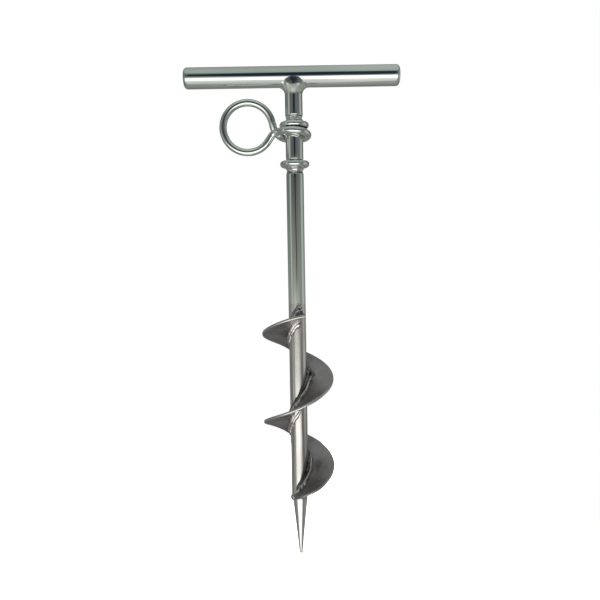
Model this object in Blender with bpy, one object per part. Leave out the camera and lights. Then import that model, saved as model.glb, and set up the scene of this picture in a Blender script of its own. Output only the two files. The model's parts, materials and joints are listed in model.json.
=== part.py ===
"""Screw-in anchor with a T handle, a two-turn auger flight and a loose tie ring.

Frame: metres, +Z up the shank from the tip of the point, +X along the handle,
-Y towards the front. Every welded piece is its own closed body, 0.3 mm clear of
its neighbours. The tie ring turns on the shank between two stop rings.
"""

from math import asin, cos, hypot, pi, radians, sin, sqrt

import bmesh
import bpy
from mathutils import Matrix, Vector

for old in list(bpy.data.objects):
    bpy.data.objects.remove(old, do_unlink=True)

# ---- driving dimensions ------------------------------------------------------
MM = 0.001
CLEAR = 0.3 * MM            # gap left between neighbouring pieces

HANDLE_R = 9.525 * MM       # 19.05 mm bar
HANDLE_LEN = 195.4 * MM
HANDLE_EDGE = 3.3 * MM      # rounding of the bar's end edges
HANDLE_X = -1.5 * MM         # the bar was welded on a little to the left
HANDLE_Z = 447.675 * MM     # axis of the bar: its top is 457.2 mm above the tip

SHANK_R = 8.0 * MM          # 16 mm bar
POINT_TOP_Z = 60.0 * MM     # where the point's shoulder reaches full diameter
GROOVE_R = 6.4 * MM         # necks that seat the stop rings

WIRE_R = 3.175 * MM         # 6.35 mm wire of the stop rings
TIE_WIRE_R = 3.35 * MM      # 6.7 mm wire of the tie ring
STOP_MEAN_R = 10.22 * MM
UPPER_STOP_Z = 404.3 * MM
LOWER_STOP_Z = 369.1 * MM
NECK = 7.8 * MM             # groove end on the welded side of a stop ring
SEAT = 3.6 * MM             # groove end on the bare side

EYE_R = 22.6 * MM           # tie ring: mean radius of the eye
EYE_X = -42.3 * MM          # eye centre from the shank axis
EYE_Z = 403.0 * MM
LOOP_Z = 395.5 * MM         # height of the loop round the shank

FLIGHT_R = 33.1 * MM
FLIGHT_IN = SHANK_R + CLEAR
FLIGHT_T = 2.5 * MM
PITCH = 83.6 * MM           # right-handed
FLIGHT_Z0 = 170.65 * MM      # rim height where the flight crosses the +X side
CONE = 3.0 * MM             # root sits this much lower than the rim
FLIGHT_TOP = 300.0          # helix angle of the upper end, degrees
FLIGHT_TOP_CUT = 282.0      # the upper end is cut back from here
FLIGHT_LOW_CUT = -410.0     # the lower end starts to curve in here
FLIGHT_LOW = -482.0         # helix angle of the lower end
END_EASE = 3.0 * MM         # how far each end flattens off the helix, 40 degrees in


# ---- materials ---------------------------------------------------------------
def metal(name, colour, roughness):
    mat = bpy.data.materials.new(name)
    mat.use_nodes = True
    shader = mat.node_tree.nodes["Principled BSDF"]
    shader.inputs["Base Color"].default_value = (*colour, 1.0)
    shader.inputs["Metallic"].default_value = 1.0
    shader.inputs["Roughness"].default_value = roughness
    return mat


def zinc(piece):
    return metal(piece + "_zinc", (0.60, 0.64, 0.62), 0.22)


def sheet_steel(piece):
    return metal(piece + "_steel", (0.30, 0.29, 0.29), 0.42)


def weld_metal(piece):
    return metal(piece + "_bead", (0.50, 0.49, 0.48), 0.30)


# ---- helpers -----------------------------------------------------------------
def finish_mesh(obj, material):
    """Smooth shading with real edges kept sharp, and the piece's own material."""
    obj.data.materials.clear()
    obj.data.materials.append(material)
    obj.data.shade_smooth()
    obj.data.set_sharp_from_angle(angle=radians(38))
    return obj


def object_from(name, bm, material, location=(0.0, 0.0, 0.0)):
    bmesh.ops.recalc_face_normals(bm, faces=bm.faces)
    mesh = bpy.data.meshes.new(name)
    bm.to_mesh(mesh)
    bm.free()
    obj = bpy.data.objects.new(name, mesh)
    obj.location = location
    bpy.context.collection.objects.link(obj)
    return finish_mesh(obj, material)


def spun(outline, steps):
    """Bmesh of an (r, z) outline turned once round the Z axis."""
    bm = bmesh.new()
    verts = [bm.verts.new((r, 0.0, z)) for r, z in outline]
    edges = [bm.edges.new(pair) for pair in zip(verts, verts[1:])]
    if outline[0][0] > 0:
        edges.append(bm.edges.new((verts[-1], verts[0])))
    bmesh.ops.spin(bm, geom=verts + edges, axis=(0, 0, 1), cent=(0, 0, 0),
                   angle=2 * pi, steps=steps, use_duplicate=False)
    bmesh.ops.remove_doubles(bm, verts=bm.verts, dist=1e-6)
    return bm


def lofted(sections, closed):
    """Bmesh of a body through equal loops of points, with flat ends if open."""
    bm = bmesh.new()
    loops = [[bm.verts.new(p) for p in section] for section in sections]
    count = len(loops[0])
    pairs = list(zip(loops, loops[1:]))
    if closed:
        pairs.append((loops[-1], loops[0]))
    for a, b in pairs:
        for j in range(count):
            k = (j + 1) % count
            bm.faces.new((a[j], a[k], b[k], b[j]))
    if not closed:
        bm.faces.new(loops[0])
        bm.faces.new(loops[-1])
    return bm


# ---- handle ------------------------------------------------------------------
def build_handle():
    """Straight round bar with rounded end edges and flat end faces."""
    bm = bmesh.new()
    bmesh.ops.create_cone(bm, cap_ends=True, segments=40, radius1=HANDLE_R,
                          radius2=HANDLE_R, depth=HANDLE_LEN,
                          matrix=Matrix.Rotation(pi / 2, 4, "Y"))
    obj = object_from("handle_bar", bm, zinc("handle_bar"),
                      (HANDLE_X, 0, HANDLE_Z))
    edge = obj.modifiers.new("end_edges", "BEVEL")
    edge.limit_method = "ANGLE"
    edge.angle_limit = radians(60)
    edge.width = HANDLE_EDGE
    edge.segments = 4


# ---- shank -------------------------------------------------------------------
def build_shank():
    """Solid bar: turned point, two necks, and a top coped to the handle."""
    outline = [(0, 0), (0.60, 0.12), (1.05, 0.5), (1.30, 1.2), (1.45, 2.5),
               (7.13, 55.5), (7.62, 57.4)]
    outline = [(r * MM, z * MM) for r, z in outline] + [(SHANK_R, POINT_TOP_Z)]
    for stop, below, above in ((LOWER_STOP_Z, NECK, SEAT), (UPPER_STOP_Z, SEAT, NECK)):
        lo, hi = stop - below, stop + above
        outline += [(SHANK_R, lo - 1.2 * MM), (SHANK_R - 0.4 * MM, lo - 0.3 * MM),
                    (GROOVE_R, lo), (GROOVE_R, hi),
                    (SHANK_R - 0.4 * MM, hi + 0.3 * MM), (SHANK_R, hi + 1.2 * MM)]
    cope_top = HANDLE_Z - 2.0 * MM
    outline += [(SHANK_R, cope_top), (0, cope_top)]
    shank = object_from("shank", spun(outline, 32), zinc("shank"))

    bm = bmesh.new()
    bmesh.ops.create_cone(bm, cap_ends=True, segments=48, radius1=HANDLE_R + CLEAR,
                          radius2=HANDLE_R + CLEAR, depth=60 * MM,
                          matrix=Matrix.Rotation(pi / 2, 4, "Y"))
    cutter = object_from("cope_cutter", bm, zinc("cope_cutter"), (0, 0, HANDLE_Z))
    cutter.hide_render = True
    cutter.display_type = "WIRE"
    cope = shank.modifiers.new("cope", "BOOLEAN")
    cope.operation = "DIFFERENCE"
    cope.solver = "EXACT"
    cope.object = cutter


def build_handle_weld():
    """Fillet all round the shank, climbing both sides of the handle as a saddle."""
    seg = 36
    rho = HANDLE_R + CLEAR
    inner = SHANK_R + CLEAR
    foot_z = 431.4 * MM
    toe_reach = 12.4 * MM
    toe_lift = radians(78.0)
    sections = []
    for i in range(seg):
        a = 2 * pi * i / seg
        ripple = 1 + 0.035 * sin(9 * a) + 0.02 * sin(14 * a + 1.0)
        c, s = cos(a), sin(a)
        lift0, lift1 = asin(inner * s / rho), toe_lift * s
        x0, x1 = inner * c, toe_reach * c * ripple

        def on_handle(t, out=0.0):
            lift = lift0 + (lift1 - lift0) * t
            return Vector((x0 + (x1 - x0) * t, (rho + out) * sin(lift),
                           HANDLE_Z - (rho + out) * cos(lift)))

        foot = Vector((inner * c, inner * s, foot_z))
        toe = on_handle(1.0, 0.35 * MM)
        belly = Vector(((inner + 1.5 * MM) * c,
                        (inner + 2.6 * MM * abs(s) + 0.9 * MM) * s,
                        foot_z + 5.6 * MM))
        face = [toe * (1 - t) ** 2 + belly * (2 * t * (1 - t)) + foot * (t * t)
                for t in (0.2, 0.4, 0.6, 0.8)]
        lip = inner + 0.35 * MM
        sections.append([foot, on_handle(0.0), on_handle(0.5), on_handle(1.0), toe]
                        + face + [Vector((lip * c, lip * s, foot_z))])
    object_from("handle_weld", lofted(sections, True), weld_metal("handle_weld"))


# ---- stop rings --------------------------------------------------------------
def build_stop_ring(name, height):
    """Wire ring closed round one of the necks of the shank."""
    bpy.ops.mesh.primitive_torus_add(major_segments=36, minor_segments=10,
                                     major_radius=STOP_MEAN_R, minor_radius=WIRE_R,
                                     location=(0, 0, height))
    ring = bpy.context.object
    ring.name = name
    finish_mesh(ring, zinc(name))


def build_stop_weld(name, height, side):
    """Weld in the neck beside a stop ring; side is +1 above the ring, -1 below."""
    reach = WIRE_R + CLEAR
    outline = [(GROOVE_R + CLEAR, 0.9 * MM)]
    for r in (7.2 * MM, 8.1 * MM, 9.1 * MM):
        outline.append((r, sqrt(reach ** 2 - (STOP_MEAN_R - r) ** 2)))
    outline += [(9.0 * MM, 3.85 * MM), (8.1 * MM, 4.25 * MM), (7.4 * MM, 5.3 * MM),
                (7.2 * MM, 7.1 * MM), (GROOVE_R + CLEAR, 7.35 * MM)]
    bm = spun([(r, side * z) for r, z in outline], 32)
    for v in bm.verts:
        flat = v.co.xy.length
        if 7.15 * MM < flat < 8.5 * MM and abs(v.co.z) > 4.0 * MM:
            a = Vector((1, 0)).angle_signed(v.co.xy, 0.0)
            lump = 0.16 * MM * sin(7 * a) + 0.10 * MM * sin(12 * a + 0.7)
            v.co.xy *= (flat + lump) / flat
    object_from(name, bm, weld_metal(name), (0, 0, height))


# ---- tie ring ----------------------------------------------------------------
def tie_ring_points():
    """Centre line of the wire about the loop's own height: the eye, then one
    loose loop that passes in front of the shank, round it and back behind."""
    points = []
    for i in range(33):
        share = i / 32
        a = radians(12 + (329 - 12) * share)
        points.append((EYE_X + EYE_R * cos(a), (2.4 - 4.8 * share) * MM,
                       EYE_Z - LOOP_Z + EYE_R * sin(a)))
    loop = [(-21.3, -2.6, -1.9), (-19.6, -2.9, 0.3), (-16.9, -4.0, 1.7),
            (-13.0, -6.6, 2.5), (-7.6, -11.4, 2.5), (-0.2, -13.9, 2.2),
            (6.8, -12.0, 1.5), (11.2, -6.6, 0.3), (12.1, 0.0, -0.7),
            (9.2, 8.6, -1.4), (0.0, 13.0, -1.9), (-8.0, 10.8, -1.4),
            (-12.3, 7.4, -0.4), (-15.2, 4.7, 1.6), (-17.4, 3.6, 4.2),
            (-18.9, 3.0, 7.3)]
    points += [(x * MM, y * MM, z * MM) for x, y, z in loop]
    return [Vector(p) for p in points]


def smooth_loop(points, per_span):
    """Closed Catmull-Rom curve through the points."""
    out = []
    n = len(points)
    for i in range(n):
        p0, p1, p2, p3 = (points[(i + k - 1) % n] for k in range(4))
        for j in range(per_span):
            t = j / per_span
            out.append(0.5 * (2 * p1 + (p2 - p0) * t
                              + (2 * p0 - 5 * p1 + 4 * p2 - p3) * t * t
                              + (3 * p1 - p0 - 3 * p2 + p3) * t ** 3))
    return out


def build_tie_ring():
    """Round wire; the object's origin lies on the shank axis, where it swivels."""
    curve = bpy.data.curves.new("tie_ring", "CURVE")
    curve.dimensions = "3D"
    curve.bevel_depth = TIE_WIRE_R
    curve.bevel_resolution = 3
    path = smooth_loop(tie_ring_points(), 2)
    spline = curve.splines.new("POLY")
    spline.points.add(len(path) - 1)
    for point, co in zip(spline.points, path):
        point.co = (*co, 1.0)
    spline.use_cyclic_u = True
    spline.use_smooth = True
    curve.materials.append(zinc("tie_ring"))
    obj = bpy.data.objects.new("tie_ring", curve)
    obj.location = (0, 0, LOOP_Z)
    bpy.context.collection.objects.link(obj)


# ---- auger flight ------------------------------------------------------------
def rim_height(deg):
    top = max(0.0, (deg - 240) / 40)
    low = max(0.0, (-442 - deg) / 40)
    return FLIGHT_Z0 + PITCH * deg / 360 - END_EASE * (top ** 2 - low ** 2)


def steepness(r):
    """Vertical thickness of a helical sheet over its true thickness."""
    return hypot(1.0, PITCH / (2 * pi * r))


def mid_height(deg, r):
    return rim_height(deg) - CONE * (FLIGHT_R - r) / (FLIGHT_R - FLIGHT_IN)


def face_height(deg, r, side, gap=0.0):
    """Height of the sheet's upper (+1) or lower (-1) face, moved out by a gap."""
    return mid_height(deg, r) + side * (FLIGHT_T / 2 + gap) * steepness(r)


def outer_radius(deg):
    """Full radius except at the cut upper end and the curved-in lower end."""
    least = FLIGHT_IN + 1.2 * MM
    if deg > FLIGHT_TOP_CUT:
        u = (deg - FLIGHT_TOP_CUT) / (FLIGHT_TOP - FLIGHT_TOP_CUT)
        return FLIGHT_R + (least - FLIGHT_R) * u
    if deg < FLIGHT_LOW_CUT:
        u = (FLIGHT_LOW_CUT - deg) / (FLIGHT_LOW_CUT - FLIGHT_LOW)
        return FLIGHT_R + (least - FLIGHT_R) * u ** 1.9
    return FLIGHT_R


def at(deg, r, z):
    a = radians(deg)
    return Vector((r * cos(a), r * sin(a), z))


def spread(start, stop, count):
    return [start + (stop - start) * i / count for i in range(count + 1)]


def build_flight():
    """Helical sheet, two turns and a bit, with an eased outer edge."""
    stations = (spread(FLIGHT_TOP, FLIGHT_TOP_CUT, 6)[:-1]
                + spread(FLIGHT_TOP_CUT, FLIGHT_LOW_CUT, 98)[:-1]
                + spread(FLIGHT_LOW_CUT, FLIGHT_LOW, 12))
    ease = 0.6 * MM
    edge = 0.225 * FLIGHT_T
    sections = []
    for deg in stations:
        out = outer_radius(deg)
        radii = [FLIGHT_IN + (out - ease - FLIGHT_IN) * s for s in (0.0, 0.3, 0.65, 1.0)]
        under = [at(deg, r, face_height(deg, r, -1)) for r in radii]
        over = [at(deg, r, face_height(deg, r, +1)) for r in reversed(radii)]
        mid = mid_height(deg, out)
        sections.append(under + [at(deg, out, mid - edge), at(deg, out, mid + edge)] + over)
    object_from("flight", lofted(sections, False), sheet_steel("flight"))


# ---- flight welds ------------------------------------------------------------
def build_root_weld(name, start, stop, side, up_leg, out_leg, bulb=None):
    """Fillet bead between the shank and one face of the sheet.

    side +1 lies on the upper face and -1 under the lower one. up_leg runs along
    the shank and out_leg along the sheet. bulb widens the bead near one angle:
    (angle, spread in degrees, extra width).
    """
    inner = FLIGHT_IN
    length = abs(stop - start)
    count = max(8, int(length / 6.0))
    sections = []
    for i, deg in enumerate(spread(start, stop, count)):
        end = min(i, count - i) / count * length
        swell = 0.35 + 0.65 * sqrt(min(1.0, end / 9.0))
        ripple = 1 + 0.06 * sin(deg * 0.55) + 0.04 * sin(deg * 0.23 + 1.3)
        up, out = up_leg * swell * ripple, out_leg * swell * ripple
        if bulb:
            near = max(0.0, 1 - abs(deg - bulb[0]) / bulb[1])
            out += bulb[2] * near * near * (3 - 2 * near)
        toe = inner + out
        root_z = face_height(deg, inner, side, CLEAR)
        toe_z = face_height(deg, toe, side, CLEAR)
        loop = [(inner, root_z),
                (inner + 0.5 * out, face_height(deg, inner + 0.5 * out, side, CLEAR)),
                (toe, toe_z),
                (toe - 0.02 * out, toe_z + side * 0.45 * MM),
                (inner + 0.70 * out, toe_z + side * (0.20 * up + 0.4 * MM)),
                (inner + 0.38 * out, root_z + side * 0.62 * up),
                (inner + 0.45 * MM, root_z + side * up),
                (inner, root_z + side * up)]
        sections.append([at(deg, r, z) for r, z in loop])
    object_from(name, lofted(sections, False), weld_metal(name))


def build_end_weld():
    """Low lump that closes the lower end of the sheet onto the shank."""
    arc = [(0, -1), (0.45, -0.92), (0.9, -0.45), (1, 0), (0.9, 0.45), (0.45, 0.92), (0, 1)]
    sections = []
    for t in spread(0.0, 1.0, 10):
        arch = 0.15 + 0.85 * sqrt(max(0.0, 1 - (2 * t - 1) ** 2))
        mid = (57.4 - 1.2 * t) * MM
        sections.append([at(-488.0 - 46.0 * t, FLIGHT_IN + r * 1.2 * MM * arch,
                            mid + z * 3.0 * MM * arch) for r, z in arc])
    object_from("flight_end_weld", lofted(sections, False), weld_metal("flight_end_weld"))


build_handle()
build_shank()
build_handle_weld()
build_stop_ring("upper_stop_ring", UPPER_STOP_Z)
build_stop_ring("lower_stop_ring", LOWER_STOP_Z)
build_stop_weld("upper_stop_weld", UPPER_STOP_Z, +1)
build_stop_weld("lower_stop_weld", LOWER_STOP_Z, -1)
build_tie_ring()
build_flight()
build_root_weld("root_weld_over_1", 302.0, 228.0, +1, 8.0 * MM, 4.2 * MM)
build_root_weld("root_weld_over_2", 150.0, 2.0, +1, 8.0 * MM, 4.2 * MM,
                (14.0, 26.0, 3.4 * MM))
build_root_weld("root_weld_over_3", -4.0, -165.0, +1, 8.0 * MM, 4.0 * MM)
build_root_weld("root_weld_over_4", -300.0, -476.0, +1, 7.8 * MM, 4.0 * MM)
build_root_weld("root_weld_under_1", 296.0, 176.0, -1, 9.0 * MM, 4.2 * MM)
build_root_weld("root_weld_under_2", -44.0, -190.0, -1, 9.0 * MM, 4.4 * MM)
build_root_weld("root_weld_under_3", -290.0, -440.0, -1, 8.0 * MM, 4.0 * MM)
build_end_weld()
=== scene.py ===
"""Visual model of the screw-in anchor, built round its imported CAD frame.

Every CAD node is replaced by a finer piece of the same size and place: plated bar
and wire, satin sheet, and weld beads with ripples, craters and tied-in toes.
"""

import json
from math import asin, atan2, cos, exp, hypot, pi, radians, sin, sqrt

import bmesh
import bpy
from mathutils import Matrix, Vector, noise


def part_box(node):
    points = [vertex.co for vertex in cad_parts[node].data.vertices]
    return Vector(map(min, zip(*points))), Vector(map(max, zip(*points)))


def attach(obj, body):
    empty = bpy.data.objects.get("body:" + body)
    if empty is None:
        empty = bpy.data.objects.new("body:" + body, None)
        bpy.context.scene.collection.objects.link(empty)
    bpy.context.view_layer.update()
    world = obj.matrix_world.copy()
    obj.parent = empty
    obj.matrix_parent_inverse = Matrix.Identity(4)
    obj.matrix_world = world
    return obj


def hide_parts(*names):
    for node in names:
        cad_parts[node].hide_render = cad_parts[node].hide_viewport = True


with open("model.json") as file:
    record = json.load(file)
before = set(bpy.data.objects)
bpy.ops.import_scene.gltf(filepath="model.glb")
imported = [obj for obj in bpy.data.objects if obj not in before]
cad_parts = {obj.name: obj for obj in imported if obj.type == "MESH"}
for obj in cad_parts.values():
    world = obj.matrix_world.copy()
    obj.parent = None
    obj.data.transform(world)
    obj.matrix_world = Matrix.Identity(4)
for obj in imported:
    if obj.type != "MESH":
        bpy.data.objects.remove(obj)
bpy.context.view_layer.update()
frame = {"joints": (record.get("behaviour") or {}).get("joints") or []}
MM = 0.001


# ---- sizes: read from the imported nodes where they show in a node's box ---------
def centre(node):
    low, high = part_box(node)
    return (low + high) / 2


def size(node):
    low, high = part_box(node)
    return high - low


HANDLE_R = size("handle_bar").z / 2
HANDLE_LEN = size("handle_bar").x
HANDLE_X = centre("handle_bar").x
HANDLE_Z = centre("handle_bar").z
HANDLE_EDGE = 3.3 * MM
SHANK_R = size("shank").x / 2
UPPER_STOP_Z = centre("upper_stop_ring").z
LOWER_STOP_Z = centre("lower_stop_ring").z
WIRE_R = size("upper_stop_ring").z / 2
STOP_MEAN_R = size("upper_stop_ring").x / 2 - WIRE_R
LOOP_Z = frame["joints"][0]["pos_m"][2]
FLIGHT_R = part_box("flight")[1].x

# sizes that no box shows, the same as in the CAD source
GROOVE_R = 6.4 * MM          # the shank's radius in both necks
NECK = 7.8 * MM              # each neck's reach past its stop ring on the weld side
SEAT = 3.6 * MM              # and on the other side
POINT_TIP = 2.5              # mm, height of the rounded tip
SHOULDER = ((7.13, 55.5), (7.62, 57.4), (7.93, 59.0), (8.0, 60.0))    # mm, point into bar
FILLET_FOOT_Z = 431.0 * MM
TIE_WIRE_R = 3.35 * MM
EYE_R = 22.6 * MM            # mean radius of the tie ring's eye
EYE_X = -42.3 * MM
EYE_Z = 403.0 * MM
FLIGHT_T = 2.5 * MM
PITCH = 83.6 * MM
FLIGHT_Z0 = 170.65 * MM
CONE = 3.0 * MM              # how far the sheet's root hangs below its rim
FLIGHT_TOP = 300.0           # helix angles of the ends and of the start of each cut
FLIGHT_TOP_CUT = 282.0
FLIGHT_LOW_CUT = -410.0
FLIGHT_LOW = -482.0
END_EASE = 3.0 * MM          # how far each end flattens off the helix, 40 degrees in
END_WELD_Z = 57.4 * MM
PLATE_END_Z = 241.3 * MM     # welding heat took the bright plating off below here


# ---- node helpers ------------------------------------------------------------
class Nodes:
    """Small wrapper for wiring one material's node tree."""

    def __init__(self, name):
        self.mat = bpy.data.materials.new(name)
        self.mat.use_nodes = True
        self.tree = self.mat.node_tree
        self.shader = self.tree.nodes["Principled BSDF"]
        self.shader.inputs["Metallic"].default_value = 1.0
        self.place = self.add("ShaderNodeTexCoord").outputs["Object"]

    def add(self, kind, **props):
        node = self.tree.nodes.new(kind)
        for key, value in props.items():
            setattr(node, key, value)
        return node

    def put(self, socket, value):
        if isinstance(value, bpy.types.NodeSocket):
            self.tree.links.new(value, socket)
        else:
            socket.default_value = value

    def stretch(self, scale, source=None):
        node = self.add("ShaderNodeMapping")
        self.put(node.inputs["Vector"], source or self.place)
        node.inputs["Scale"].default_value = scale
        return node.outputs["Vector"]

    def noise(self, scale, detail=3.0, rough=0.55, vector=None, distortion=0.0):
        node = self.add("ShaderNodeTexNoise")
        self.put(node.inputs["Vector"], vector or self.place)
        node.inputs["Scale"].default_value = scale
        node.inputs["Detail"].default_value = detail
        node.inputs["Roughness"].default_value = rough
        node.inputs["Distortion"].default_value = distortion
        return node.outputs["Fac"]

    def cells(self, scale, vector=None, feature="F1"):
        node = self.add("ShaderNodeTexVoronoi", feature=feature)
        self.put(node.inputs["Vector"], vector or self.place)
        node.inputs["Scale"].default_value = scale
        return node.outputs["Distance"]

    def math(self, op, a, b=0.0, clamp=False):
        node = self.add("ShaderNodeMath", operation=op, use_clamp=clamp)
        self.put(node.inputs[0], a)
        self.put(node.inputs[1], b)
        return node.outputs[0]

    def ramp(self, value, low, high, start=0.0, stop=1.0, smooth=True):
        """value from low..high mapped to start..stop, clamped."""
        node = self.add("ShaderNodeMapRange", clamp=True)
        node.interpolation_type = "SMOOTHSTEP" if smooth else "LINEAR"
        self.put(node.inputs["Value"], value)
        for key, number in (("From Min", low), ("From Max", high),
                            ("To Min", start), ("To Max", stop)):
            self.put(node.inputs[key], number)
        return node.outputs["Result"]

    def mix(self, fac, a, b, blend="MIX"):
        node = self.add("ShaderNodeMix", data_type="RGBA", blend_type=blend)
        self.put(node.inputs["Factor"], fac)
        self.put(node.inputs[6], colour(a))
        self.put(node.inputs[7], colour(b))
        return node.outputs[2]

    def mark(self, name):
        """A value painted on the mesh's points."""
        return self.add("ShaderNodeAttribute", attribute_name=name).outputs["Fac"]

    def axis(self, name):
        node = self.add("ShaderNodeSeparateXYZ")
        self.put(node.inputs[0], self.place)
        return node.outputs[name]

    def bump(self, height, distance, strength=1.0, normal=None):
        node = self.add("ShaderNodeBump")
        node.inputs["Strength"].default_value = strength
        node.inputs["Distance"].default_value = distance
        self.put(node.inputs["Height"], height)
        if normal is not None:
            self.put(node.inputs["Normal"], normal)
        return node.outputs["Normal"]

    def finish(self, base, roughness, normal):
        self.put(self.shader.inputs["Base Color"], base)
        self.put(self.shader.inputs["Roughness"], roughness)
        self.put(self.shader.inputs["Normal"], normal)
        return self.mat


def colour(value):
    return (*value, 1.0) if isinstance(value, tuple) and len(value) == 3 else value


# ---- materials ---------------------------------------------------------------
def zinc_plate(name, along=(1.0, 1.0, 1.0), bare_below=None):
    """Bright zinc: faint green mottling, drawn lines, scratches and dull rubs.

    along squeezes the drawn lines to run with the piece. Below bare_below the
    welding heat has burnt the plating to a warmer bare steel, and the turned point
    below that is bright. There the dark mark is weld soot along the bead toes with
    painted shade in the toe creases. Elsewhere the dark mark is painted shade under
    the upper stop ring and where the tie ring runs beneath it.
    """
    n = Nodes(name)
    cloud = n.noise(38.0, 4.0, 0.6, n.stretch(along), 0.6)
    tint = n.mix(n.ramp(cloud, 0.35, 0.70), (0.76, 0.82, 0.785), (0.86, 0.90, 0.87))
    iris = n.noise(17.0, 2.0, 0.5, n.stretch(along), 1.2)
    tint = n.mix(n.ramp(iris, 0.54, 0.72, 0.0, 0.30), tint, (0.70, 0.72, 0.80))
    pit = n.math("MULTIPLY", n.ramp(n.cells(620.0), 0.05, 0.16, 1.0, 0.0),
                 n.ramp(n.noise(90.0, 2.0), 0.60, 0.72))
    tint = n.mix(n.math("MULTIPLY", pit, 0.6), tint, (0.20, 0.19, 0.18))
    drawn = [n.stretch(tuple(1.0 if a == 1.0 else squeeze for a in along))
             for squeeze in (0.012, 0.03)]
    line, broad = n.noise(700.0, 2.0, 0.7, drawn[0]), n.noise(190.0, 2.0, 0.5, drawn[1])
    if along != (1.0, 1.0, 1.0):
        tint = n.mix(n.ramp(broad, 0.50, 0.62, 0.0, 0.30), tint, (0.40, 0.42, 0.405))
    rough = n.ramp(cloud, 0.30, 0.75, 0.045, 0.09)
    rough = n.math("ADD", rough, n.ramp(line, 0.52, 0.80, 0.0, 0.08))
    rough = n.math("ADD", rough, n.ramp(n.noise(130.0, 3.0, 0.6), 0.60, 0.74, 0.0, 0.07))
    if bare_below is not None:
        z = n.math("ADD", n.axis("Z"), n.ramp(n.noise(210.0, 3.0), 0.2, 0.8, -0.0012, 0.0012))
        bare = n.ramp(z, bare_below - 0.0006, bare_below + 0.0006, 1.0, 0.0)
        warm = n.mix(n.ramp(n.noise(60.0, 4.0, 0.65, n.stretch((1, 1, 0.25))), 0.3, 0.75),
                     (0.60, 0.58, 0.56), (0.88, 0.86, 0.83))
        warm = n.mix(n.ramp(broad, 0.50, 0.64, 0.0, 0.6), warm, (0.33, 0.31, 0.30))
        turned = n.ramp(n.axis("Z"), 0.0575, 0.0600, 1.0, 0.0)
        warm = n.mix(n.math("MULTIPLY", turned, 0.75), warm, (0.86, 0.85, 0.83))
        tint = n.mix(bare, tint, warm)
        tint = n.mix(n.math("MULTIPLY", n.mark("heat"), 0.55), tint, (0.40, 0.33, 0.29))
        # dark toe lines: weld soot with painted shade in the toe creases
        tint = n.mix(n.mark("soot_and_shade"), tint, (0.035, 0.030, 0.030))
        rough = n.math("ADD", rough, n.math("MULTIPLY", bare, 0.12))
        rough = n.math("ADD", rough, n.math("MULTIPLY", n.mark("heat"), 0.10))
        rough = n.math("SUBTRACT", rough, n.math("MULTIPLY", turned, 0.10))
    else:
        # painted shade under the upper stop ring and where the tie ring runs beneath it
        tint = n.mix(n.mark("soot_and_shade"), tint, (0.020, 0.018, 0.018))
        rough = n.math("ADD", rough, n.math("MULTIPLY", n.mark("soot_and_shade"), 0.5))
    normal = n.bump(line, 0.00002, 0.45)
    normal = n.bump(broad, 0.00009, 0.55, normal)
    normal = n.bump(n.noise(55.0, 3.0, 0.5, n.stretch(along)), 0.00025, 0.30, normal)
    return n.finish(tint, rough, normal)


def flight_sheet(name):
    """Satin rolled sheet: mottled mill grey, darker at the root, with a painted highlight along the
    rim.
    """
    n = Nodes(name)
    x, y = n.axis("X"), n.axis("Y")
    r = n.math("SQRT", n.math("ADD", n.math("MULTIPLY", x, x), n.math("MULTIPLY", y, y)))
    cloud = n.noise(60.0, 5.0, 0.62, None, 0.8)
    fine = n.noise(520.0, 3.0, 0.6)
    base = n.mix(n.ramp(cloud, 0.30, 0.72), (0.335, 0.305, 0.318), (0.490, 0.455, 0.470))
    base = n.mix(n.ramp(fine, 0.35, 0.75, 0.0, 0.25), base, (0.58, 0.55, 0.56))
    dusk = n.math("MULTIPLY", n.ramp(r, 0.0095, 0.0215, 1.0, 0.0),
                  n.ramp(n.noise(110.0, 4.0, 0.6), 0.36, 0.62))
    base = n.mix(n.math("MULTIPLY", dusk, 0.40), base, (0.150, 0.134, 0.134))
    stain = n.ramp(n.noise(24.0, 3.0, 0.55, None, 1.5), 0.56, 0.70, 0.0, 0.18)
    base = n.mix(stain, base, (0.26, 0.265, 0.29))
    # dark along the bead toes: soot with painted shade
    base = n.mix(n.mark("soot_and_shade"), base, (0.050, 0.042, 0.042))
    rim = n.mark("rim")
    # painted highlight: the rim is lightened and made glossier
    base = n.mix(n.math("MULTIPLY", rim, 0.9), base, (0.72, 0.70, 0.68))
    rough = n.ramp(cloud, 0.30, 0.75, 0.34, 0.46)
    rough = n.math("SUBTRACT", rough, n.math("MULTIPLY", rim, 0.14))
    rough = n.math("ADD", rough, n.ramp(fine, 0.5, 0.8, 0.0, 0.06))
    normal = n.bump(fine, 0.00006, 0.5)
    normal = n.bump(n.noise(42.0, 2.0), 0.0006, 0.25, normal)
    return n.finish(base, rough, normal)


def weld_bead(name, pale=(0.82, 0.81, 0.79), dull=(0.46, 0.44, 0.425)):
    """Weld metal: bright and dull patches, toes and hollows darkened by soot and painted shade,
    matt where marked.
    """
    n = Nodes(name)
    cloud = n.noise(130.0, 3.0, 0.55, None, 0.5)
    base = n.mix(n.ramp(cloud, 0.28, 0.60), dull, pale)
    # dark mark: soot with painted shade in toes, grooves and hollows
    base = n.mix(n.mark("soot_and_shade"), base, (0.040, 0.034, 0.033))
    rough = n.ramp(cloud, 0.30, 0.70, 0.10, 0.24)
    rough = n.math("ADD", rough, n.math("MULTIPLY", n.mark("soot_and_shade"), 0.25))
    rough = n.math("ADD", rough, n.math("MULTIPLY", n.mark("matte"), 0.42))
    normal = n.bump(n.noise(700.0, 3.0, 0.6), 0.00006, 0.35)
    return n.finish(base, rough, normal)


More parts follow.
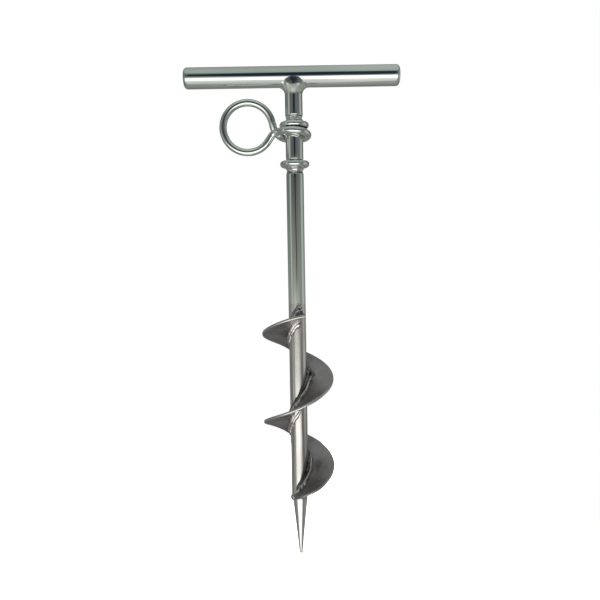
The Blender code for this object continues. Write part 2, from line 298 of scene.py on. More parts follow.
# ---- mesh helpers ------------------------------------------------------------
def piece(name, bm, material, node, body, marks=None, sharp=38.0):
    """Object from a bmesh, shaded smooth, riding on its body in place of a CAD node.

    marks holds painted point values by name, each a function of a point.
    """
    bmesh.ops.recalc_face_normals(bm, faces=bm.faces)
    mesh = bpy.data.meshes.new(name)
    bm.to_mesh(mesh)
    bm.free()
    for key, rule in (marks or {}).items():
        layer = mesh.attributes.new(key, "FLOAT", "POINT")
        layer.data.foreach_set("value", [rule(v.co) for v in mesh.vertices])
    return dress(bpy.data.objects.new(name, mesh), material, node, body, sharp)


def dress(obj, material, node, body, sharp=38.0):
    obj.data.materials.append(material)
    if obj.type == "MESH":
        obj.data.shade_smooth()
        obj.data.set_sharp_from_angle(angle=radians(sharp))
    bpy.context.scene.collection.objects.link(obj)
    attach(obj, body)
    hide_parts(node)
    return obj


def lofted(sections, closed):
    """Bmesh of a body through equal loops of points, with flat ends if open."""
    bm = bmesh.new()
    loops = [[bm.verts.new(p) for p in section] for section in sections]
    count = len(loops[0])
    pairs = list(zip(loops, loops[1:]))
    if closed:
        pairs.append((loops[-1], loops[0]))
    for a, b in pairs:
        for j in range(count):
            k = (j + 1) % count
            bm.faces.new((a[j], a[k], b[k], b[j]))
    if not closed:
        bm.faces.new(loops[0])
        bm.faces.new(loops[-1])
    return bm


def catmull(points, per_span, closed):
    """Catmull-Rom line through points of any dimension."""
    count = len(points)
    spans = count if closed else count - 1

    def get(i):
        return points[i % count] if closed else points[min(max(i, 0), count - 1)]

    out = []
    for i in range(spans):
        quad = [get(i - 1), get(i), get(i + 1), get(i + 2)]
        for j in range(per_span):
            t = j / per_span
            out.append(tuple(0.5 * (2 * b + (c - a) * t + (2 * a - 5 * b + 4 * c - d) * t * t
                                    + (3 * b - a - 3 * c + d) * t ** 3)
                             for a, b, c, d in zip(*quad)))
    return out if closed else out + [tuple(points[-1])]


def grain(p, per_mm, seed=0.0):
    """Smooth repeatable noise, about -1..1, with per_mm features to the millimetre."""
    return noise.noise(Vector(p) * (1000.0 * per_mm) + Vector((seed, seed * 0.7, seed * 1.3)))


def spread(start, stop, count):
    return [start + (stop - start) * i / count for i in range(count + 1)]


def clamp(value, low=0.0, high=1.0):
    return max(low, min(high, value))


def bell(distance, width):
    return exp(-(distance / width) ** 2)


def circle(count):
    return [2 * pi * i / count for i in range(count)]


# ---- handle ------------------------------------------------------------------
def build_handle():
    """Drawn bar with rounded end edges, dished end faces and faint handling dents."""
    half = HANDLE_LEN / 2
    end = [(-half + 0.15 * MM * (1 - t), (HANDLE_R - HANDLE_EDGE) * t + 0.02 * MM)
           for t in spread(0.0, 1.0, 5)[:-1]]
    end += [(-half + HANDLE_EDGE * (1 - cos(a)), HANDLE_R - HANDLE_EDGE * (1 - sin(a)))
            for a in spread(0.0, pi / 2, 10)]
    straight = spread(-half + HANDLE_EDGE, half - HANDLE_EDGE, 80)[1:-1]
    line = end + [(x, HANDLE_R) for x in straight]
    line += [(-x, r) for x, r in reversed(end)]
    sections = []
    for x, r in line:
        ring = []
        for a in circle(96):
            p = Vector((x, r * cos(a), r * sin(a)))
            dip = 0.06 * MM * max(0.0, grain(p, 0.045, 3.0) - 0.22)
            ring.append(Vector((HANDLE_X + x, p.y * (1 - dip / r),
                                HANDLE_Z + p.z * (1 - dip / r))))
        sections.append(ring)
    piece("handle", lofted(sections, False), zinc_plate("zinc_handle", (0.25, 1.0, 1.0)),
          "handle_bar", "anchor")


# ---- flight geometry, shared by sheet, beads and the marks on the shank -------
def rim_height(deg):
    top = max(0.0, (deg - 240) / 40)
    low = max(0.0, (-442 - deg) / 40)
    return FLIGHT_Z0 + PITCH * deg / 360 - END_EASE * (top ** 2 - low ** 2)


def steepness(r):
    """Vertical thickness of a helical sheet over its true thickness."""
    return hypot(1.0, PITCH / (2 * pi * r))


def mid_height(deg, r):
    return rim_height(deg) - CONE * (FLIGHT_R - r) / (FLIGHT_R - SHANK_R)


def face_height(deg, r, side, sink=0.0):
    """Height of the sheet's upper (+1) or lower (-1) face, or sunk below that face."""
    return mid_height(deg, r) + side * (FLIGHT_T / 2 - sink) * steepness(r)


def outer_radius(deg):
    """Full radius except at the cut upper end and the curved-in lower end."""
    least = SHANK_R + 1.5 * MM
    if deg > FLIGHT_TOP_CUT:
        u = (deg - FLIGHT_TOP_CUT) / (FLIGHT_TOP - FLIGHT_TOP_CUT)
        return FLIGHT_R + (least - FLIGHT_R) * u
    if deg < FLIGHT_LOW_CUT:
        u = (FLIGHT_LOW_CUT - deg) / (FLIGHT_LOW_CUT - FLIGHT_LOW)
        return FLIGHT_R + (least - FLIGHT_R) * u ** 1.9
    return FLIGHT_R


def at(deg, r, z):
    a = radians(deg)
    return Vector((r * cos(a), r * sin(a), z))


# name, start, stop (degrees), side, leg up the shank, leg along the sheet, ridges,
# bulb (degrees, spread, extra width), craters (degrees, place across 0-1, size, depth)
BEADS = (
    ("root_weld_over_1", 302.0, 228.0, +1, 8.0, 4.2, 2, None,
     ((284.0, 0.58, 1.2, 1.2), (272.0, 0.80, 0.9, -0.7), (262.0, 0.62, 0.8, 0.7))),
    ("root_weld_over_2", 150.0, 2.0, +1, 8.0, 4.2, 1, (14.0, 26.0, 3.4),
     ((4.5, 0.40, 1.5, 2.8), (10.0, 0.30, 0.8, -0.9))),
    ("root_weld_over_3", -4.0, -165.0, +1, 8.0, 4.0, 2, None, ((-8.0, 0.45, 1.3, 1.4),)),
    ("root_weld_over_4", -300.0, -476.0, +1, 7.8, 4.0, 2, None, ((-352.0, 0.5, 1.1, 1.3),)),
    ("root_weld_under_1", 296.0, 176.0, -1, 8.0, 2.2, 2, None, ()),
    ("root_weld_under_2", -44.0, -190.0, -1, 8.5, 2.2, 2, None, ((-178.0, 0.5, 1.4, 1.4),)),
    ("root_weld_under_3", -290.0, -440.0, -1, 8.0, 4.0, 1, None, ()),
)


def bead_swell(deg, start, stop):
    """Rounded ends: 0 at the ends of a bead, 1 from six degrees in."""
    near = min(abs(deg - start), abs(deg - stop))
    return sqrt(clamp(1 - (1 - clamp(near / 6.0)) ** 2))


def toe_wander(deg, seed):
    return 1 + 0.07 * sin(deg * 0.17 + seed) + 0.03 * sin(deg * 0.43 + 2 * seed)


def shank_heat(p):
    """(dark mark, heat) on the shank: dark toe lines and a heat tint beside each bead; the dark
    lines are weld soot with painted shade in the toe creases.
    """
    soot_and_shade = heat = 0.0
    if not 0.045 < p.z < 0.245:
        return 0.0, 0.0
    base = atan2(p.y, p.x) * 180 / pi
    for i, (_, start, stop, side, up, _, _, _, _) in enumerate(BEADS):
        for turn in (-720, -360, 0, 360):
            deg = base + turn
            if not stop < deg < start:
                continue
            toe = (face_height(deg, SHANK_R, side)
                   + side * up * MM * toe_wander(deg, i) * bead_swell(deg, start, stop))
            off = (p.z - toe) * side
            # dark line at the toe: soot with painted shade in the crease
            blot = 0.75 + 0.5 * grain(p, 0.5, 5.0)
            soot_and_shade = max(soot_and_shade, clamp(0.9 * bell(off, 0.45 * MM) * blot))
            heat = max(heat, clamp((1.0 - off / (4.5 * MM)) * 0.8) if off > 0 else 0.8)
    return soot_and_shade, heat * (0.7 + 0.5 * grain(p, 0.25, 8.0))


# ---- shank -------------------------------------------------------------------
def build_shank():
    """Drawn bar with a turned point, two necks and a top coped to the handle."""
    tip_r, (root_r, root_z) = 1.45, SHOULDER[0]
    tip = catmull([(0.02, 0.0), (0.60, 0.12), (1.05, 0.5), (1.30, 1.2), (tip_r, POINT_TIP)],
                  4, False)
    cone = [(tip_r + (root_r - tip_r) * t, POINT_TIP + (root_z - POINT_TIP) * t)
            for t in spread(0.0, 1.0, 50)[1:]]
    knee = catmull(SHOULDER, 4, False)[1:]
    outline = [(r * MM * SHANK_R / (8.0 * MM), z * MM) for r, z in tip + cone + knee]

    def run_to(top, step):
        low = outline[-1][1]
        count = max(1, round((top - low) / step))
        outline.extend((SHANK_R, z) for z in spread(low, top, count)[1:])

    run_to(250 * MM, 0.6 * MM)
    for stop, below, above in ((LOWER_STOP_Z, NECK, SEAT), (UPPER_STOP_Z, SEAT, NECK)):
        lo, hi = stop - below, stop + above
        run_to(lo - 1.6 * MM, 4 * MM)
        fall = [(0.0, -1.6), (-0.06, -0.95), (-0.35, -0.40), (-0.95, -0.12), (-1.60, 0.0)]
        outline.extend((SHANK_R + r * MM, lo + z * MM) for r, z in fall[1:])
        outline.extend((GROOVE_R, z) for z in spread(lo, hi, 6)[1:-1])
        outline.extend((SHANK_R + r * MM, hi - z * MM) for r, z in reversed(fall))
    run_to(HANDLE_Z - 13 * MM, 4 * MM)
    sections = []
    for r, z in outline:
        ring = []
        for a in circle(128):
            p = Vector((r * cos(a), r * sin(a), z))
            swell = 0.03 * MM * grain(Vector((p.x, p.y, p.z * 0.3)), 0.12, 1.0)
            swell *= clamp(r / SHANK_R)
            ring.append(Vector((p.x * (1 + swell / r), p.y * (1 + swell / r), z)))
        sections.append(ring)
    for share in (1.0, 0.6, 0.2):
        ring = []
        for a in circle(128):
            x, y = SHANK_R * share * cos(a), SHANK_R * share * sin(a)
            ring.append(Vector((x, y, HANDLE_Z - sqrt((HANDLE_R - 0.2 * MM) ** 2 - y * y))))
        sections.append(ring)
    piece("shank_bar", lofted(sections, False),
          zinc_plate("zinc_shank", (1.0, 1.0, 0.25), PLATE_END_Z),
          "shank", "anchor",
          {"soot_and_shade": lambda p: shank_heat(p)[0], "heat": lambda p: shank_heat(p)[1]})


def build_handle_weld():
    """Lumpy fillet all round the shank, climbing both sides of the handle."""
    inner = SHANK_R - 0.3 * MM
    rho = HANDLE_R - 0.3 * MM
    sections = []
    for a in circle(180):
        c, s = cos(a), sin(a)
        lump = 1 + 0.05 * sin(9 * a + 0.6) + 0.03 * sin(17 * a + 1.0)
        lift0, lift1 = asin(inner * s / rho), radians(82.0) * s
        x0, x1 = inner * c, 12.9 * MM * c * lump

        def on_handle(t, out=0.0):
            lift = lift0 + (lift1 - lift0) * t
            return Vector((x0 + (x1 - x0) * t, (rho + out) * sin(lift),
                           HANDLE_Z - (rho + out) * cos(lift)))

        foot = Vector((inner * c, inner * s, FILLET_FOOT_Z + 0.5 * MM * sin(5 * a)))
        toe = on_handle(1.0, 0.25 * MM)
        belly = Vector(((SHANK_R + 0.9 * MM) * c, (SHANK_R + 2.2 * MM * abs(s) + 0.5 * MM) * s,
                        FILLET_FOOT_Z + 6.5 * MM))
        face = []
        for t in spread(0.0, 1.0, 20)[1:-1]:
            p = toe * (1 - t) ** 2 + belly * (2 * t * (1 - t)) + foot * (t * t)
            out = Vector((p.x, p.y, -3.0 * MM)).normalized()
            ease = sin(pi * t) ** 0.5
            side = 0.55 * bell(abs(c) - 0.62, 0.20) * bell(t - 0.28, 0.22)
            bump = (0.16 * grain(p, 0.28, 11.0) + 0.07 * grain(p, 0.9, 4.0) + side) * MM * ease
            face.append(p + out * bump)
        sections.append([foot, on_handle(0.0), on_handle(0.5), on_handle(1.0), toe] + face)

    # dark mark: painted shade in the crease at the fillet's foot, and soot blotches
    def soot_and_shade(p):
        low = bell(p.z - (FILLET_FOOT_Z + 0.9 * MM), 0.7 * MM) * 0.5
        return clamp(low + 0.8 * clamp(grain(p, 0.40, 9.0) * 2.2 - 0.95))

    metal = weld_bead("bead_handle", (0.80, 0.84, 0.81), (0.58, 0.62, 0.59))
    piece("handle_fillet", lofted(sections, True), metal, "handle_weld", "anchor",
          {"soot_and_shade": soot_and_shade, "matte": lambda p: clamp((439.6 * MM - p.z) / (1.2 * MM))})


# ---- stop rings --------------------------------------------------------------
def build_stop_ring(name, node, height, seed):
    """Wire bent round the neck, its butted ends fused by the weld beside it."""
    sections = []
    for a in circle(160):
        wave = 0.05 * MM * sin(3 * a + seed) + 0.12 * MM * bell((a - 1.9) % (2 * pi), 0.15)
        middle = STOP_MEAN_R + 0.04 * MM * sin(2 * a + seed)
        ring = []
        for b in circle(32):
            radius = WIRE_R * (1 + 0.012 * sin(5 * a + seed) * cos(b))
            r = middle + radius * cos(b)
            ring.append(Vector((r * cos(a), r * sin(a), height + wave + radius * sin(b))))
        sections.append(ring)
    # painted shadow on the underside of the upper stop ring, deeper towards +x
    def contact_shade(p):
        if name != "upper_stop":
            return 0.0
        under = clamp(((height - p.z) / WIRE_R - 0.66) * 6.0)
        return under * (0.65 + 0.35 * clamp(p.x / (6 * MM)))

    piece(name, lofted(sections, True), zinc_plate("zinc_" + name, (1.0, 1.0, 1.0)),
          node, "anchor", {"soot_and_shade": contact_shade})


def build_stop_weld(name, node, height, side, seed):
    """Lumpy weld that fills the neck and wets onto the ring's shoulder."""
    reach = WIRE_R - 0.15 * MM
    line = [(GROOVE_R - 0.2 * MM, 0.6 * MM)]
    for r in (7.3, 8.1, 9.0, 9.7):
        line.append((r * MM, sqrt(max(0.0, reach ** 2 - (STOP_MEAN_R - r * MM) ** 2))))
    face = [(9.6, 3.42), (9.0, 3.62), (8.2, 4.15), (7.55, 5.1), (7.25, 6.1), (7.35, 7.0),
            (7.75, 7.75)]
    line += [(r * MM, z * MM) for r, z in catmull(face, 5, False)]
    line.append((GROOVE_R - 0.2 * MM, 7.9 * MM))
    sections = []
    for r, z in line:
        ring = []
        for a in circle(160):
            p = Vector((r * cos(a), r * sin(a), side * z))
            lump = 0.0
            if z > 3.4 * MM and r > GROOVE_R:
                ease = clamp((z - 3.4 * MM) / (0.8 * MM))
                lump = (0.40 * grain(p, 0.32, seed) + 0.12 * grain(p, 0.9, seed + 3)
                        + 0.10 * sin(11 * a + seed)) * MM * ease
            ring.append(Vector(((r + lump) * cos(a), (r + lump) * sin(a),
                                height + side * (z + 0.35 * lump))))
        sections.append(ring)

    # dark mark: painted shade in the creases where the weld meets the shank and the ring, broken up
    # by soot
    def soot_and_shade(p):
        up = (p.z - height) * side
        rim = 0.8 * bell(up - 7.7 * MM, 0.45 * MM) + 0.7 * bell(up - 3.5 * MM, 0.35 * MM)
        return clamp(rim * clamp(0.45 + 1.3 * grain(p, 0.35, seed)))

    metal = weld_bead("bead_" + name, (0.80, 0.84, 0.81), (0.60, 0.64, 0.61))
    piece(name, lofted(sections, False), metal, node, "anchor", {"soot_and_shade": soot_and_shade})


# ---- tie ring ----------------------------------------------------------------
def build_tie_ring():
    """One round wire: the eye, then a loose loop in front of the shank and back."""
    points = []
    for i in range(33):
        share = i / 32
        a = radians(12 + (329 - 12) * share)
        points.append((EYE_X + EYE_R * cos(a), (2.4 - 4.8 * share) * MM,
                       EYE_Z + EYE_R * sin(a)))
    loop = [(-21.3, -2.6, -1.9), (-19.6, -2.9, 0.3), (-16.9, -4.0, 1.7),
            (-13.0, -6.6, 2.5), (-7.6, -11.4, 2.5), (-0.2, -13.9, 2.2),
            (6.8, -12.0, 1.5), (11.2, -6.6, 0.3), (12.1, 0.0, -0.7),
            (9.2, 8.6, -1.4), (0.0, 13.0, -1.9), (-8.0, 10.8, -1.4),
            (-12.3, 7.4, -0.4), (-15.2, 4.7, 1.6), (-17.4, 3.6, 4.2),
            (-18.9, 3.0, 7.3)]
    points += [(x * MM, y * MM, LOOP_Z + z * MM) for x, y, z in loop]
    path = [Vector(p) for p in catmull(points, 8, True)]
    count = len(path)
    tangents = [(path[(i + 1) % count] - path[i - 1]).normalized() for i in range(count)]
    side = tangents[0].orthogonal().normalized()
    sides = [side]
    for t in tangents[1:] + tangents[:1]:
        side = (side - t * side.dot(t)).normalized()
        sides.append(side)
    last = sides.pop()
    drift = atan2(last.cross(sides[0]).dot(tangents[0]), last.dot(sides[0]))
    sections = []
    for i, (p, t, s) in enumerate(zip(path, tangents, sides)):
        u = s.cross(t)
        ring = []
        for b in circle(32):
            turn = b - drift * i / count
            nick = grain(p + s * cos(turn) * TIE_WIRE_R, 0.16, 21.0)
            nick = 0.18 * MM * clamp(nick * 3.0 - 1.35)
            reach = TIE_WIRE_R - nick
            ring.append(p + (s * cos(turn) - u * sin(turn)) * reach)
        sections.append(ring)
    # painted shade on the loop where it runs just under the upper stop ring
    def contact_shade(p):
        near = hypot(p.x, p.y) - STOP_MEAN_R
        if p.x < -9 * MM or abs(near) > 4 * MM:
            return 0.0
        return clamp((p.z - (UPPER_STOP_Z - WIRE_R - 1.5 * MM)) / (0.7 * MM)) * 0.9

    piece("tie_ring_wire", lofted(sections, True), zinc_plate("zinc_tie_ring"),
          "tie_ring", "tie_ring", {"soot_and_shade": contact_shade})


# ---- auger flight ------------------------------------------------------------
def build_flight():
    """Helical sheet with an eased rim, slight forming waves and blunt cut ends."""
    stations = (spread(FLIGHT_TOP, FLIGHT_TOP_CUT, 18)[:-1]
                + spread(FLIGHT_TOP_CUT, FLIGHT_LOW_CUT, 346)[:-1]
                + spread(FLIGHT_LOW_CUT, FLIGHT_LOW, 48))
    inner = SHANK_R - 0.3 * MM
    ease = 0.6 * MM
    sections = []
    for deg in stations:
        out = outer_radius(deg)
        radii = [inner + (out - ease - inner) * i / 16 for i in range(17)]

        def skin(r, side):
            p = at(deg, r, face_height(deg, r, side))
            free = clamp((r - SHANK_R) / (12 * MM))
            p.z += free * MM * (0.22 * grain(p, 0.035, 2.0) + 0.03 * grain(p, 0.25, 6.0))
            return p

        low, high = skin(out - ease, -1), skin(out - ease, +1)
        rim = []
        for t in spread(-1.0, 1.0, 8)[1:-1]:
            push = ease * sqrt(1 - t * t)
            mid = low.lerp(high, 0.5 + 0.5 * t)
            rim.append(mid + at(deg, push, 0.0))
        sections.append([skin(r, -1) for r in radii] + rim
                        + [skin(r, +1) for r in reversed(radii)])

    def angle_of(p):
        base = atan2(p.y, p.x) * 180 / pi
        return base + 360 * round((p.z - rim_height(base)) / PITCH)

    # painted highlight along the rim, faded out on the lowest turn
    def rim(p):
        r = hypot(p.x, p.y)
        deg = angle_of(p)
        lit = clamp((deg - FLIGHT_LOW_CUT + 10) / 20)
        return lit * clamp((r - outer_radius(deg) + ease + 0.05 * MM) / (0.3 * MM))

    # dark mark on the sheet by each bead: soot with painted shade along the toe crease, fading over
    # 3 mm
    def soot_and_shade(p):
        r = hypot(p.x, p.y)
        deg = angle_of(p)
        side = 1 if p.z > mid_height(deg, r) else -1
        dark = 0.0
        for i, (_, start, stop, s, _, leg, _, bulb, _) in enumerate(BEADS):
            if s == side and stop - 3 < deg < start + 3:
                reach = leg * toe_wander(deg, i + 1) * bead_swell(deg, start + 3, stop - 3)
                if bulb:
                    near = clamp(1 - abs(deg - bulb[0]) / bulb[1])
                    reach += bulb[2] * near * near * (3 - 2 * near)
                off = r - SHANK_R - reach * MM
                dark = max(dark, bell(off, 0.7 * MM), 0.18 * bell(max(off, 0.0), 3 * MM))
        return clamp(dark * (0.7 + 0.8 * grain(p, 0.3, 13.0)))

    piece("flight_sheet", lofted(sections, False), flight_sheet("sheet_flight"),
          "flight", "anchor", {"rim": rim, "soot_and_shade": soot_and_shade})


def build_bead(index):
    """Root bead with chevron ripples, lumps and end craters; soot with painted shade darkens its
    toes and the groove between two ridges, and its craters are darker.
    """
    name, start, stop, side, up_leg, out_leg, ridges, bulb, craters = BEADS[index]
    inner = SHANK_R - 0.35 * MM
    across = 22
    sections, dark = [], []
    for deg in spread(start, stop, int(abs(stop - start) / 0.7)):
        swell = bead_swell(deg, start, stop)
        up = up_leg * MM * toe_wander(deg, index) * swell
        out = out_leg * MM * toe_wander(deg, index + 1) * swell
        if bulb:
            near = clamp(1 - abs(deg - bulb[0]) / bulb[1])
            out += bulb[2] * MM * near * near * (3 - 2 * near) * swell
        toe_r = SHANK_R + out + 0.05 * MM
        low = Vector((toe_r, face_height(deg, toe_r, side, 0.10 * MM)))
        high = Vector((SHANK_R - 0.05 * MM, face_height(deg, SHANK_R, side) + side * up))
        push = Vector((0.55, side * 0.83))
        loop = [at(deg, inner, high.y), at(deg, inner, face_height(deg, inner, side, 0.5 * MM)),
                at(deg, toe_r, face_height(deg, toe_r, side, 0.5 * MM))]
        dark += [0.6, 0.6, 0.6]
        for i in range(across + 1):
            v = i / across
            flat = low.lerp(high, v)
            place = at(deg, flat.x, flat.y)
            arch = sin(pi * v)
            rise = (0.75 if ridges == 1 else 0.55) * arch * swell
            if ridges == 2:
                rise += 0.55 * (bell(v - 0.27, 0.13) + bell(v - 0.74, 0.13)) * swell
            chevron = sin(radians(deg) * 96 + 2.4 * arch + 1.2 * grain(place, 0.3, 2.0))
            rise += arch * swell * (0.012 * chevron + 0.16 * grain(place, 0.15, 7.0 + index)
                                    + 0.03 * grain(place, 0.6, 3.0 + index))
            hole = 0.0
            for c_deg, c_v, c_size, c_depth in craters:
                gap = hypot(radians(deg - c_deg) * 11.0, (v - c_v) * hypot(up_leg, out_leg))
                hole += c_depth * bell(gap, c_size) - 0.35 * c_depth * bell(gap - 1.5 * c_size,
                                                                          0.5 * c_size)
            flat = flat + push * ((rise - hole * clamp(4 * arch)) * MM)
            point = at(deg, max(flat.x, inner), flat.y)
            # painted shade with soot along both toes and in the groove between two ridges
            toes = bell(v, 0.07) + bell(1 - v, 0.06)
            if ridges == 2:
                toes += 0.9 * bell(v - 0.51, 0.06)
            # on beads over_3 and over_4 the half up the shank is darker as well
            if index in (2, 3):
                toes += 0.85 * clamp((v - 0.50) / 0.12)
            dark.append(clamp(toes * (0.9 + 0.2 * grain(place, 0.12, 17.0)) + 0.9 * clamp(hole)
                              + 0.3 * clamp(grain(place, 0.2, 31.0 + index) * 2.5 - 1.0)))
            loop.append(point)
        sections.append(loop)
    tones = ((0.40, 0.385, 0.375), (0.22, 0.21, 0.205)) if index == 1 else ()
    painted = iter(dark)
    piece(name + "_bead", lofted(sections, False), weld_bead("bead_" + name, *tones), name,
          "anchor",
          {"soot_and_shade": lambda p: next(painted)}, 60.0)


def build_end_weld():
    """Low lump that closes the lower end of the sheet onto the shank."""
    sections = []
    for t in spread(0.0, 1.0, 40):
        arch = 0.1 + 0.9 * sqrt(clamp(1 - (2 * t - 1) ** 2))
        mid = END_WELD_Z - 1.2 * t * MM
        deg = -488.0 - 46.0 * t
        loop = [at(deg, SHANK_R - 1.0 * MM, mid + h * 3.0 * MM * arch) for h in (1, -1)]
        for b in spread(-pi / 2, pi / 2, 16):
            place = at(deg, SHANK_R + 1.5 * MM * arch * cos(b),
                       mid + 3.3 * MM * arch * sin(b))
            out = 0.18 * MM * grain(place, 0.6, 4.0) * arch
            loop.append(place + Vector((place.x, place.y, 0)).normalized() * out)
        sections.append(loop)
    piece("flight_end_bead", lofted(sections, False), weld_bead("bead_end"),
          "flight_end_weld", "anchor", {"soot_and_shade": lambda p: 0.25}, 60.0)


build_handle()
build_shank()
build_handle_weld()
build_stop_ring("upper_stop", "upper_stop_ring", UPPER_STOP_Z, 0.4)
build_stop_ring("lower_stop", "lower_stop_ring", LOWER_STOP_Z, 2.1)
build_stop_weld("upper_stop_bead", "upper_stop_weld", UPPER_STOP_Z, +1, 5.0)
build_stop_weld("lower_stop_bead", "lower_stop_weld", LOWER_STOP_Z, -1, 9.0)
build_tie_ring()
build_flight()
for index in range(len(BEADS)):
    build_bead(index)
build_end_weld()


# ---- camera ------------------------------------------------------------------
LENS = 36.153
SHIFT = -0.018
CAMERA_AT = Vector((2.95 * MM, -560.0 * MM, 297.3 * MM))
DOWN = radians(4.391)        # how far the camera looks below the horizon
ROLL = radians(-0.93)


def place_camera():
    back = Vector((0.0, -cos(DOWN), sin(DOWN)))
    level = (-back).cross(Vector((0, 0, 1))).normalized()
    plumb = level.cross(-back)
    right = level * cos(ROLL) + plumb * sin(ROLL)
    up = plumb * cos(ROLL) - level * sin(ROLL)
    data = bpy.data.cameras.new("camera")
    data.sensor_width = 36.0
    data.lens = LENS
    data.shift_y = SHIFT
    data.clip_start = 0.01
    camera = bpy.data.objects.new("camera", data)
    turn = Matrix((right, up, back)).transposed().to_4x4()
    camera.matrix_world = Matrix.Translation(CAMERA_AT) @ turn
    bpy.context.scene.collection.objects.link(camera)
    bpy.context.scene.camera = camera


# ---- light and floor ---------------------------------------------------------
GAP_TURN, GAP_WIDE = 0.03, 0.25    # the dark gap's middle and half size, in radians
GAP_RISE, GAP_TALL = 0.29, 0.29


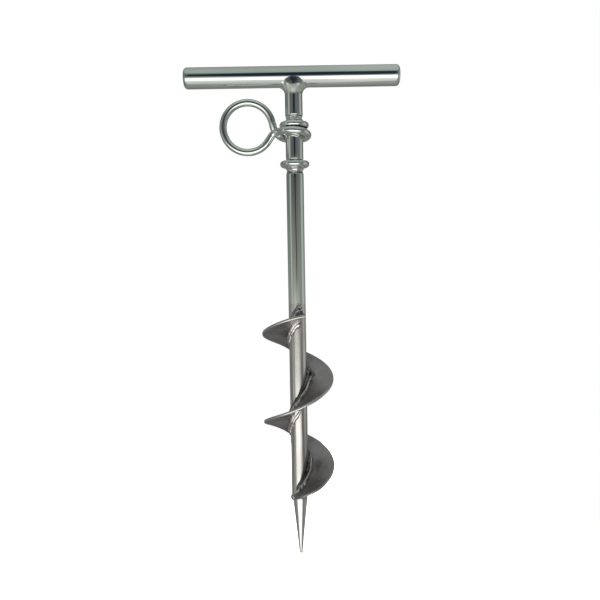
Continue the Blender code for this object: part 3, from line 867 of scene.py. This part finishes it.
def studio_surround():
    """Pale studio: white behind the object, a soft pale ceiling, a bright table in
    front, grey sides, and one dark gap in front where the room shows."""
    world = bpy.data.worlds.new("studio")
    world.use_nodes = True
    bpy.context.scene.world = world
    tree = world.node_tree
    tree.nodes.clear()
    n = Nodes.__new__(Nodes)
    n.tree = tree
    n.place = n.add("ShaderNodeTexCoord").outputs["Generated"]
    x, y, z = (n.axis(k) for k in "XYZ")
    turn = n.math("ARCTAN2", x, n.math("MULTIPLY", y, -1.0))
    rise = n.math("ARCSINE", z)

    def steps(*stops):
        """Colour by height above the horizon: (degrees, colour) pairs."""
        node = n.add("ShaderNodeValToRGB")
        n.put(node.inputs[0], n.ramp(rise, -pi / 2, pi / 2, 0.0, 1.0, smooth=False))
        ramp = node.color_ramp
        while len(ramp.elements) > 1:
            ramp.elements.remove(ramp.elements[-1])
        for k, (deg, tone) in enumerate(stops):
            where = (deg + 90) / 180
            stop = ramp.elements[0] if k == 0 else ramp.elements.new(where)
            stop.position = where
            stop.color = colour(tone)
        return node.outputs[0]

    front = steps((-90, (0.42, 0.43, 0.41)),
                  (-72, (0.50, 0.51, 0.49)), (-56, (0.68, 0.68, 0.65)),
                  (-44, (0.76, 0.76, 0.73)), (-38, (1.30, 1.30, 1.26)), (-25, (1.40, 1.40, 1.36)),
                  (-17, (1.30, 1.30, 1.27)), (-11, (0.74, 0.73, 0.70)), (-6, (0.44, 0.44, 0.42)),
                  (-3, (0.26, 0.27, 0.24)),
                  (6, (0.10, 0.10, 0.098)), (31, (0.11, 0.12, 0.12)), (40, (0.31, 0.34, 0.32)),
                  (90, (0.36, 0.39, 0.37)))
    side = steps((-90, (0.30, 0.31, 0.29)), (-40, (0.16, 0.16, 0.155)), (-24, (0.20, 0.20, 0.19)),
                 (-14, (0.17, 0.17, 0.165)),
                 (-4, (0.22, 0.23, 0.21)), (6, (0.13, 0.135, 0.13)), (30, (0.12, 0.125, 0.12)),
                 (48, (0.30, 0.33, 0.31)), (90, (0.36, 0.39, 0.37)))
    wide = n.math("ABSOLUTE", n.math("ADD", turn, 0.10))
    sky = n.mix(n.ramp(wide, radians(25), radians(56)), front, side)
    left = n.ramp(n.math("ABSOLUTE", n.math("ADD", turn, radians(68))), 0.08, 0.26, 0.75, 0.0)
    right = n.ramp(n.math("ABSOLUTE", n.math("SUBTRACT", turn, radians(95))), 0.20, 0.48, 0.65, 0.0)
    panels = n.math("MAXIMUM", left, right)
    band = n.math("MULTIPLY", panels, n.ramp(n.math("ABSOLUTE", rise), 0.30, 0.75, 1.0, 0.0))
    sky = n.mix(band, sky, (0.46, 0.48, 0.46))
    across = n.math("DIVIDE", n.math("SUBTRACT", turn, GAP_TURN), GAP_WIDE)
    above = n.math("DIVIDE", n.math("SUBTRACT", rise, GAP_RISE), GAP_TALL)
    away = n.math("SQRT", n.math("ADD", n.math("MULTIPLY", across, across),
                                 n.math("MULTIPLY", above, above)))
    sky = n.mix(n.ramp(away, 0.82, 1.06, 1.0, 0.0), sky, (0.010, 0.022, 0.036))
    low = n.math("ABSOLUTE", n.math("SUBTRACT", rise, 0.02))
    strip = n.math("MULTIPLY", n.ramp(n.math("ABSOLUTE", across), 0.35, 0.62, 0.85, 0.0),
                   n.ramp(low, 0.05, 0.11, 1.0, 0.0))
    sky = n.mix(strip, sky, (0.055, 0.040, 0.034))
    light = n.add("ShaderNodeBackground")
    n.put(light.inputs["Color"], sky)
    light.inputs["Strength"].default_value = 1.18
    white = n.add("ShaderNodeBackground")
    white.inputs["Color"].default_value = (1, 1, 1, 1)
    white.inputs["Strength"].default_value = 1.0
    pick = n.add("ShaderNodeMixShader")
    n.put(pick.inputs[0], n.add("ShaderNodeLightPath").outputs["Is Camera Ray"])
    tree.links.new(light.outputs[0], pick.inputs[1])
    tree.links.new(white.outputs[0], pick.inputs[2])
    out = n.add("ShaderNodeOutputWorld")
    tree.links.new(pick.outputs[0], out.inputs["Surface"])


def build_floor():
    """Round pale table top under the point."""
    bm = bmesh.new()
    bmesh.ops.create_cone(bm, cap_ends=True, segments=128, radius1=0.320, radius2=0.320,
                          depth=4 * MM, matrix=Matrix.Translation((0, 0, -2.6 * MM)))
    mesh = bpy.data.meshes.new("floor")
    bm.to_mesh(mesh)
    bm.free()
    n = Nodes("floor_pale")
    n.shader.inputs["Metallic"].default_value = 0.0
    n.shader.inputs["Roughness"].default_value = 0.8
    n.shader.inputs["Specular IOR Level"].default_value = 0.1
    n.put(n.shader.inputs["Base Color"],
          n.mix(n.noise(30.0), (0.90, 0.90, 0.89), (0.93, 0.93, 0.92)))
    n.shader.inputs["Emission Color"].default_value = (1.0, 1.0, 0.99, 1.0)
    n.shader.inputs["Emission Strength"].default_value = 0.4
    mesh.materials.append(n.mat)
    floor = bpy.data.objects.new("floor", mesh)
    bpy.context.scene.collection.objects.link(floor)
    floor.visible_glossy = False


def soft_light(name, power, width, place, aim, glossy):
    data = bpy.data.lights.new(name, "AREA")
    data.shape = "DISK"
    data.size = width
    data.energy = power
    lamp = bpy.data.objects.new(name, data)
    lamp.location = place
    lamp.rotation_euler = (Vector(aim) - Vector(place)).to_track_quat("-Z", "Y").to_euler()
    lamp.visible_camera = False
    lamp.visible_glossy = glossy
    bpy.context.scene.collection.objects.link(lamp)


place_camera()
studio_surround()
build_floor()
soft_light("ceiling", 75.0, 1.2, (0.0, -0.2, 1.5), (0.0, 0.0, 0.0), False)
bpy.context.scene.view_settings.view_transform = "Standard"
